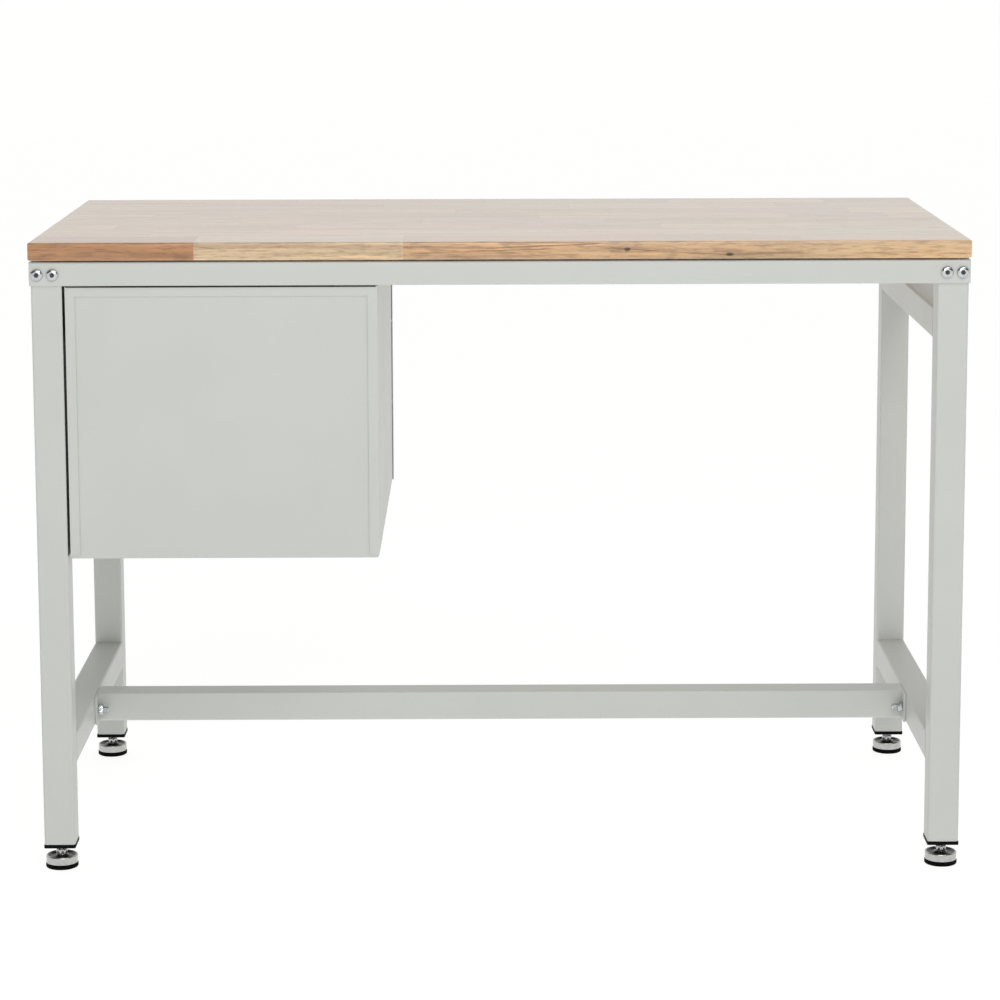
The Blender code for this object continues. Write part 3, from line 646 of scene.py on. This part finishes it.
# ---------------------------------------------------------------- pieces
def build_board(material):
    """The worktop as rows of blocks in one closed mesh, its outer edges rounded."""
    low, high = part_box("worktop")
    base = low.z + GAP_HEIGHT
    depth = (high.y - low.y) / len(BOARD_ROWS)
    joints = [[low.x] + [end for end, _ in row[:-1]] + [high.x] for row in BOARD_ROWS]
    shape = bmesh.new()
    layers = {
        name: shape.faces.layers.float_vector.new(name)
        for name in ("block_tone", "block_shift", "block_lean", "block_low", "block_high")
    }
    corners = {}

    def corner(x, y, z):
        key = (round(x, 5), round(y, 5), round(z, 5))
        if key not in corners:
            corners[key] = shape.verts.new((x, y, z))
        return corners[key]

    def across(row, x0, x1):
        """Joints of a neighbouring row strictly between two places."""
        return [x for x in joints[row] if x0 < x < x1] if 0 <= row < len(joints) else []

    draw = Random(11)
    for row, blocks in enumerate(BOARD_ROWS):
        y0, y1 = low.y + row * depth, low.y + (row + 1) * depth
        for number, (_, tone) in enumerate(blocks):
            x0, x1 = joints[row][number], joints[row][number + 1]
            values = block_values(draw, TONES[tone])
            values["block_low"], values["block_high"] = Vector((x0, y0, 0)), Vector((x1, y1, 0))
            near = [x0] + sorted(across(row - 1, x0, x1)) + [x1]
            far = [x1] + sorted(across(row + 1, x0, x1), reverse=True) + [x0]
            faces = []
            for z in (base, high.z):
                ring = [corner(x, y0, z) for x in near] + [corner(x, y1, z) for x in far]
                faces.append(shape.faces.new(ring))
            for outer, start, end in (
                (row == 0, (x0, y0), (x1, y0)),
                (row == len(BOARD_ROWS) - 1, (x0, y1), (x1, y1)),
                (number == 0, (x0, y0), (x0, y1)),
                (number == len(blocks) - 1, (x1, y0), (x1, y1)),
            ):
                if outer:
                    ring = [corner(*start, base), corner(*end, base)]
                    ring += [corner(*end, high.z), corner(*start, high.z)]
                    faces.append(shape.faces.new(ring))
            for face in faces:
                for name, value in values.items():
                    face[layers[name]] = value
    bmesh.ops.recalc_face_normals(shape, faces=shape.faces)
    rims = [edge for edge in shape.edges if edge.calc_face_angle() > pi / 4]
    bmesh.ops.bevel(
        shape, geom=rims, offset=BOARD_EDGE_RADIUS, offset_type="OFFSET", segments=4, profile=0.5,
        affect="EDGES",
    )
    lower_seat(shape, low, high)
    return add_piece("worktop_board", shape, [material], replaces=["worktop"])


def block_values(draw, tone):
    """What the wood's shader reads of one block: its tone, and where and how its grain runs."""
    lift = draw.uniform(0.96, 1.04)
    shift = (draw.uniform(-1, 1), draw.uniform(0.03, 0.12), draw.uniform(0.02, 0.09))
    lean = (draw.uniform(-0.05, 0.05), draw.uniform(-0.06, 0.06), 0)
    return {
        "block_tone": Vector(tone) * lift, "block_shift": Vector(shift), "block_lean": Vector(lean)
    }


def lower_seat(shape, low, high):
    """Brings the underside, apart from a strip along its rim, down onto the frame."""
    inner_low, inner_high = low + Vector((GAP_DEPTH,) * 3), high - Vector((GAP_DEPTH,) * 3)
    for corner, axis in ((inner_low, 0), (inner_low, 1), (inner_high, 0), (inner_high, 1)):
        direction = Vector((axis == 0, axis == 1, 0))
        everything = [*shape.verts, *shape.edges, *shape.faces]
        bmesh.ops.bisect_plane(shape, geom=everything, plane_co=corner, plane_no=direction)
    seat = []
    for face in shape.faces:
        middle = face.calc_center_median()
        inside = all(inner_low[i] < middle[i] < inner_high[i] for i in (0, 1))
        if inside and face.normal.z < -0.9:
            seat.append(face)
    grown = bmesh.ops.extrude_face_region(shape, geom=seat)["geom"]
    bmesh.ops.delete(shape, geom=seat, context="FACES")
    moved = [item for item in grown if isinstance(item, bmesh.types.BMVert)]
    bmesh.ops.translate(shape, verts=moved, vec=(0, 0, -GAP_HEIGHT))


def dome_head(radius):
    """Rings of a button head, from the bottom of its hexagon socket out to its seat at height 0."""
    rings = [[Vector((0, 0, HEAD_HEIGHT - SOCKET_DEPTH - DRILL_POINT))]]
    rings.append(hexagon(SOCKET_FLATS, HEAD_HEIGHT - SOCKET_DEPTH))
    rings.append(hexagon(SOCKET_FLATS, HEAD_HEIGHT - SOCKET_CHAMFER))
    rings.append(hexagon(SOCKET_FLATS + 2 * SOCKET_CHAMFER, HEAD_HEIGHT))
    rings.append(circle(DOME_LAND, HEAD_HEIGHT))
    steps = 7
    for k in range(1, steps + 1):
        angle = pi / 2 * k / steps
        reach = DOME_LAND + (radius - DOME_LAND) * sin(angle)
        rings.append(circle(reach, DOME_RIM + (HEAD_HEIGHT - DOME_RIM) * cos(angle)))
    rings.append(circle(radius, HEAD_CHAMFER))
    rings.append(circle(radius - HEAD_CHAMFER, 0.0))
    return rings


def rail_bolt(low, high, outwards):
    """A dome-head bolt whose head is on the side outwards (-1 back, 1 front) of its box."""
    length = (high.y - low.y) - HEAD_HEIGHT
    shank = RAIL_THREAD[0]
    rings = dome_head(RAIL_DOME_RADIUS)
    rings += [circle(shank, 0.0), circle(shank, -RAIL_PLAIN)]
    rings += threaded_end(RAIL_THREAD, -RAIL_PLAIN, -length)
    centre = (low + high) / 2
    seat_y = (low.y + HEAD_HEIGHT) if outwards < 0 else (high.y - HEAD_HEIGHT)
    turn = Matrix.Rotation(-outwards * pi / 2, 4, "X")
    seat = Matrix.Translation((centre.x, seat_y, centre.z))
    return placed(loft(rings, second=SOCKET_BANDS), seat @ turn)


def build_rail_bolts(materials):
    """Two bolts at each end of each angle rail, turned to different angles."""
    for end, outwards in ENDS:
        for side, _ in SIDES:
            for number in (1, 2):
                node = f"rail_bolt_{end}_{side}_{number}"
                low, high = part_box(node)
                centre = (low + high) / 2
                spin = Matrix.Rotation((number * 17 + outwards * 9) * pi / 180, 4, "Y")
                about = Matrix.Translation(centre) @ spin @ Matrix.Translation(-centre)
                add_piece(
                    f"{node}_detailed", placed(rail_bolt(low, high, outwards), about), materials,
                    replaces=[node],
                )


def stretcher_bolt_rings(length):
    """Dome head outside the cross rail; nut and thread end inside, on the plate's lug."""
    nut_top = -(length - HEAD_HEIGHT - STRETCHER_STUB - STRETCHER_NUT_HEIGHT)
    nut_end = nut_top - STRETCHER_NUT_HEIGHT
    shank = STRETCHER_THREAD[0]
    sink_width, sink_depth = NUT_SINK
    rings = dome_head(STRETCHER_DOME_RADIUS)
    rings += [circle(shank, 0.0), circle(shank, nut_top)]
    rings += nut((
        (nut_top, NUT_FACE), (nut_top - SHOULDER_HEIGHT, NUT_SHOULDER),
        (nut_top - NUT_CHAMFER, NUT_CORNER), (nut_end + NUT_CHAMFER, NUT_CORNER),
        (nut_end + SHOULDER_HEIGHT, NUT_SHOULDER), (nut_end, NUT_FACE),
    ))
    rings += [circle(shank + sink_width, nut_end), circle(shank, nut_end + sink_depth)]
    rings += threaded_end(STRETCHER_THREAD, nut_end, nut_end - STRETCHER_STUB)
    return rings


def build_stretcher_bolts(materials):
    """One bolt through each lower cross rail and the lug of the stretcher's end plate."""
    for side, sign in SIDES:
        node = f"stretcher_bolt_{side}"
        low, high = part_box(node)
        centre = (low + high) / 2
        seat_x = (high.x - HEAD_HEIGHT) if sign > 0 else (low.x + HEAD_HEIGHT)
        place = Matrix.Translation((seat_x, centre.y, centre.z))
        turn = Matrix.Rotation(sign * pi / 2, 4, "Y") @ Matrix.Rotation(0.3, 4, "Z")
        shape = loft(stretcher_bolt_rings(high.x - low.x), second=SOCKET_BANDS)
        add_piece(
            f"{node}_detailed", placed(shape, place @ turn), materials,
            replaces=[node],
        )


def foot_rings(low, high):
    """Rings of a levelling foot, and the bands of its skin that are in the dish.

    From the base up it is a bright bell with a dished top, a hexagon and a threaded stem.
    """
    base, top, edge = low.z, high.z, (high.x - low.x) / 2
    rim_top = base + BELL_TOP
    profile = [(0, base), (edge - BELL_CHAMFER, base), (edge, base + BELL_CHAMFER)]
    profile.append((edge, rim_top - BELL_RIM))
    profile += arc((edge - BELL_RIM, rim_top - BELL_RIM), BELL_RIM, 0, 1.0, 5)[1:]
    bands = range(len(profile), len(profile) + len(DISH) + len(CONE) - 1)
    profile += [(edge - inwards, rim_top + height) for inwards, height in DISH]
    profile += [(radius, rim_top + height) for radius, height in CONE]
    rings = turned(profile)
    nut_low, nut_high = base + FOOT_NUT_LOW, base + FOOT_NUT_HIGH
    rings += nut((
        (nut_low, NUT_FACE), (nut_low + FOOT_NUT_LOW_CHAMFER, NUT_CORNER),
        (nut_high - NUT_CHAMFER, NUT_CORNER), (nut_high - SHOULDER_HEIGHT, NUT_SHOULDER),
        (nut_high, FOOT_NUT_FACE),
    ))
    neck, thread_low = STEM_THREAD[0] - NECK_INSET, nut_high + NECK_LENGTH
    rings += [circle(neck, nut_high), circle(neck, thread_low)]
    rings += threaded_end(STEM_THREAD, thread_low, top)
    return rings, bands


def pad_rings(low, high):
    """The rubber disc under a foot, with a groove round its side and a hollow underneath."""
    base, top, edge = low.z, high.z, (high.x - low.x) / 2
    hollow, groove, lip = base + PAD_HOLLOW, base + PAD_GROOVE, edge - GROOVE_LIP
    inwards, down = PAD_CHAMFER
    profile = [(0, hollow), (HOLLOW_RADIUS, hollow), (HOLLOW_MOUTH, base)]
    profile += arc((edge - PAD_ROUND, base + PAD_ROUND), PAD_ROUND, -1, 0, 5)
    profile += [(lip, groove - GROOVE_HALF), (edge - GROOVE_DEPTH, groove)]
    profile += [(lip, groove + GROOVE_HALF), (edge, top - down), (edge - inwards, top), (0, top)]
    return turned(profile)


def build_feet(zinc, dish, rubber, plastic):
    """At each corner a foot and its disc, which move together, and the leg's cap."""
    for end, _ in ENDS:
        for side, _ in SIDES:
            corner = f"{end}_{side}"
            body = f"levelling_foot_{corner}"
            low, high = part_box(f"foot_{corner}")
            centre = (low + high) / 2
            place = Matrix.Translation((centre.x, centre.y, 0))
            spin = place @ Matrix.Rotation(0.2 + centre.x * 3 + centre.y * 5, 4, "Z")
            rings, dish_bands = foot_rings(low, high)
            foot = loft(rings, second=dish_bands)
            add_piece(
                f"foot_{corner}_detailed", placed(foot, spin), [zinc, dish], body,
                replaces=[f"foot_{corner}"],
            )
            pad = loft(pad_rings(*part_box(f"foot_pad_{corner}")))
            add_piece(
                f"foot_pad_{corner}_detailed", placed(pad, place), [rubber], body,
                replaces=[f"foot_pad_{corner}"],
            )
            build_leg_cap(corner, place, plastic)


def build_leg_cap(corner, place, plastic):
    """Plastic plug: a flange with softened edges, ribs that grip the tube, and a bore."""
    node = f"leg_cap_{corner}"
    low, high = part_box(node)
    half = (high.x - low.x) / 2
    base, top, flange = low.z, high.z, low.z + CAP_FLANGE
    steps = 6

    def hole(radius, height):
        """A ring with as many points as a square one, turned so that they face each other."""
        count = 4 * (steps + 1)
        angles = (2 * pi * (i + 0.5) / count for i in range(count))
        return [Vector((radius * cos(a), radius * sin(a), height)) for a in angles]

    def square(half_width, corner_radius, height):
        return rounded_rectangle(half_width, half_width, corner_radius, height, steps)

    def flange_ring(inwards, height):
        return square(half - inwards, CAP_CORNER - inwards, height)

    root = CAP_PLUG - RIB_DEPTH
    rings = [
        hole(CAP_BORE + BORE_CHAMFER, base), hole(CAP_BORE + BORE_LAND, base),
        flange_ring(CAP_LOW_CHAMFER, base), flange_ring(0, base + CAP_LOW_CHAMFER),
        flange_ring(0, flange - CAP_HIGH_CHAMFER), flange_ring(CAP_HIGH_CHAMFER, flange),
        square(root, PLUG_CORNER, flange),
    ]
    pitch = (top - flange - 2 * RIB_MARGIN) / CAP_RIBS
    for k in range(CAP_RIBS):
        z = flange + RIB_MARGIN + k * pitch
        levels = ((root, z), (CAP_PLUG, z + pitch * RIB_PEAK), (root, z + pitch * RIB_END))
        rings += [square(half_width, PLUG_CORNER, height) for half_width, height in levels]
    tip_inset, tip_corner = PLUG_TIP
    rings += [square(CAP_PLUG - tip_inset, tip_corner, top), hole(CAP_BORE, top)]
    rings.append(hole(CAP_BORE, base + BORE_CHAMFER))
    add_piece(
        f"{node}_detailed", placed(loft(rings, closed=True), place), [plastic],
        replaces=[node],
    )


def handle_rings(low, high):
    """Rings of a bow handle of flat bar, swept from foot to foot."""
    half, half_width = (high.x - low.x) / 2, (high.z - low.z) / 2
    centre = Vector(((low.x + high.x) / 2, low.y, (low.z + high.z) / 2))
    middle = half - HANDLE_BAR / 2
    rise = high.y - low.y - HANDLE_BAR / 2
    bend = HANDLE_BEND - HANDLE_BAR / 2
    path = [(-middle, 0.0)] + arc((bend - middle, rise - bend), bend, 2, 1, 10)
    path += arc((middle - bend, rise - bend), bend, 1, 0, 10) + [(middle, 0.0)]
    section = rounded_rectangle(HANDLE_BAR / 2, half_width, HANDLE_ARRIS, 0.0, 4)
    rings = []
    for k, (u, v) in enumerate(path):
        before, after = Vector(path[max(k - 1, 0)]), Vector(path[min(k + 1, len(path) - 1)])
        along = (after - before).normalized()
        rings.append([
            centre + Vector((u - along.y * p.x, v + along.x * p.x, p.y)) for p in section
        ])
    return rings


def build_handles(steel):
    """One bow handle on each drawer, which it moves with."""
    for number in DRAWERS:
        node = f"drawer_{number}_handle"
        add_piece(
            f"{node}_detailed", loft(handle_rings(*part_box(node))), [steel], f"drawer_{number}",
            replaces=[node],
        )


def dress_node(name, material, bevel=0.0):
    """Gives a CAD node its finish and, with bevel, breaks its sharp edges."""
    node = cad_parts[name]
    node.data.materials.clear()
    node.data.materials.append(material)
    if bevel:
        modifier = node.modifiers.new("broken_edges", "BEVEL")
        modifier.width = bevel
        modifier.segments = 2
        modifier.limit_method = "ANGLE"
        modifier.angle_limit = 0.9
        modifier.harden_normals = True


def dress_frame(paint, slide_steel, paint_with_shadow):
    """Paint and steel for the CAD nodes; the last argument maps some nodes to paints of their own,
    which carry a painted shadow.
    """
    replaced = ("leg_cap", "foot", "rail_bolt", "stretcher_bolt", "worktop")
    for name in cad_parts:
        if name.startswith(replaced) or name.endswith("_handle"):
            continue
        if "_slide_" in name or "_runner_" in name:
            dress_node(name, slide_steel)
        elif name.startswith(("cabinet", "drawer")):
            dress_node(name, paint_with_shadow.get(name, paint), SHEET_EDGE)
        else:
            dress_node(name, paint_with_shadow.get(name, paint), TUBE_EDGE)


# ---------------------------------------------------------------- stage
def build_floor():
    """A very large pale floor that glows a little, like a lit white cyclorama."""
    bpy.ops.mesh.primitive_circle_add(vertices=64, radius=FLOOR_RADIUS, fill_type="NGON")
    ground = bpy.context.object
    ground.name = "studio_floor"
    f = Finish("studio_floor", roughness=0.9, specular_ior_level=0.1)
    f.shader.inputs["Emission Color"].default_value = (1, 1, 0.995, 1)
    f.shader.inputs["Emission Strength"].default_value = FLOOR_GLOW
    value = f.remap(f.noise(f.place, 2.0, 3.0), 0.3, 0.7, *FLOOR_TONES)
    ground.data.materials.append(f.finish(f.combine(value, value, value)))


def build_world():
    """What lights the bench from all round: a far wall, near walls and a ceiling.

    The camera itself sees plain white behind the bench.
    """
    world = bpy.data.worlds.new("studio_dome")
    bpy.context.scene.world = world
    world.use_nodes = True
    tree = world.node_tree

    def step(kind, inputs, output=0, **settings):
        return shader_node(tree, kind, inputs, **settings).outputs[output]

    def ramp(value, limits):
        return step(
            "ShaderNodeMapRange", {"Value": value, "From Min": limits[0], "From Max": limits[1]},
            interpolation_type="SMOOTHSTEP",
        )

    def math(operation, a, b):
        return step("ShaderNodeMath", {0: a, 1: b}, operation=operation)

    direction = step("ShaderNodeTexCoord", {}, "Generated")
    _, y, z = shader_node(tree, "ShaderNodeSeparateXYZ", {0: direction}).outputs
    far = ramp(y, FAR_WALL_FROM)
    near = math("SUBTRACT", 1.0, far)
    low = math("SUBTRACT", 1.0, ramp(z, NEAR_WALLS_TO))
    far_wall = math("MULTIPLY", far, GLOW["far wall"])
    ceiling = math("MULTIPLY", ramp(z, CEILING_FROM), GLOW["ceiling"])
    near_walls = math("MULTIPLY", math("MULTIPLY", low, near), GLOW["near walls"])
    strength = math("ADD", math("ADD", far_wall, ceiling), near_walls)
    seen = step("ShaderNodeLightPath", {}, "Is Camera Ray")
    strength = step("ShaderNodeMix", {0: seen, 2: strength, 3: 1.0}, data_type="FLOAT")
    background = tree.nodes["Background"]
    background.inputs["Color"].default_value = (1.0, 1.0, 1.0, 1.0)
    tree.links.new(strength, background.inputs["Strength"])


def build_lights():
    """Rectangular lamps that face the bench."""
    for name, place, width, height, power in SOFTBOXES:
        lamp = bpy.data.lights.new(name, "AREA")
        lamp.shape = "RECTANGLE"
        lamp.size, lamp.size_y, lamp.energy = width, height, power
        holder = bpy.data.objects.new(name, lamp)
        bpy.context.scene.collection.objects.link(holder)
        holder.location = place
        aim = Vector(LIT_POINT) - Vector(place)
        holder.rotation_euler = aim.to_track_quat("-Z", "Y").to_euler()


def build_camera():
    """Long lens a little above the worktop, looking at the back of the bench."""
    ahead = Vector((sin(YAW) * cos(PITCH), cos(YAW) * cos(PITCH), -sin(PITCH)))
    level = Vector((cos(YAW), -sin(YAW), 0))
    upright = level.cross(ahead)
    right = level * cos(ROLL) - upright * sin(ROLL)
    up = level * sin(ROLL) + upright * cos(ROLL)
    lens = bpy.data.cameras.new("camera")
    lens.sensor_width, lens.lens, lens.shift_y = SENSOR, LENS, SHIFT
    lens.clip_start, lens.clip_end = 0.1, 500
    camera = bpy.data.objects.new("camera", lens)
    bpy.context.scene.collection.objects.link(camera)
    turn = Matrix((right, up, -ahead)).transposed().to_4x4()
    camera.matrix_world = Matrix.Translation(CAMERA_PLACE) @ turn
    bpy.context.scene.camera = camera


def build_scene():
    wood = hardwood()
    paint = powder_coat("grey_powder_coat_finish", PAINT_GREY)
    # Paints of their own, with a painted shadow in the narrow slots round the cabinet's back
    paint_with_shadow = {
        "cabinet_case": powder_coat("cabinet_case_paint_with_shadow", PAINT_GREY, CABINET_RIM_SHADOW),
        "leg_back_left": powder_coat("leg_back_left_paint_with_shadow", PAINT_GREY, LEG_SLOT_SHADOW),
    }
    zinc = bright_zinc("bright_zinc", *BOLT_ZINC)
    foot_zinc = bright_zinc("foot_zinc", *FOOT_ZINC)
    dish = bright_zinc("dish_zinc_painted_shade", *DISH_ZINC)
    # Painted shade for the walls of the bolt sockets
    socket_shade = painted_socket_shade()
    slide_steel = rolled_steel("slide_steel_finish", *SLIDE_STEEL)
    handle_steel = rolled_steel("handle_steel", *HANDLE_STEEL)
    plastic = dark_polymer("black_plastic_finish", *PLASTIC_BLACK)
    rubber = dark_polymer("black_rubber_finish", *RUBBER_BLACK)

    build_board(wood)
    build_rail_bolts([zinc, socket_shade])
    build_stretcher_bolts([zinc, socket_shade])
    build_feet(foot_zinc, dish, rubber, plastic)
    build_handles(handle_steel)
    dress_frame(paint, slide_steel, paint_with_shadow)
    build_floor()
    build_world()
    build_lights()
    build_camera()
    bpy.context.scene.view_settings.view_transform = "Standard"


build_scene()
bpy.context.view_layer.update()
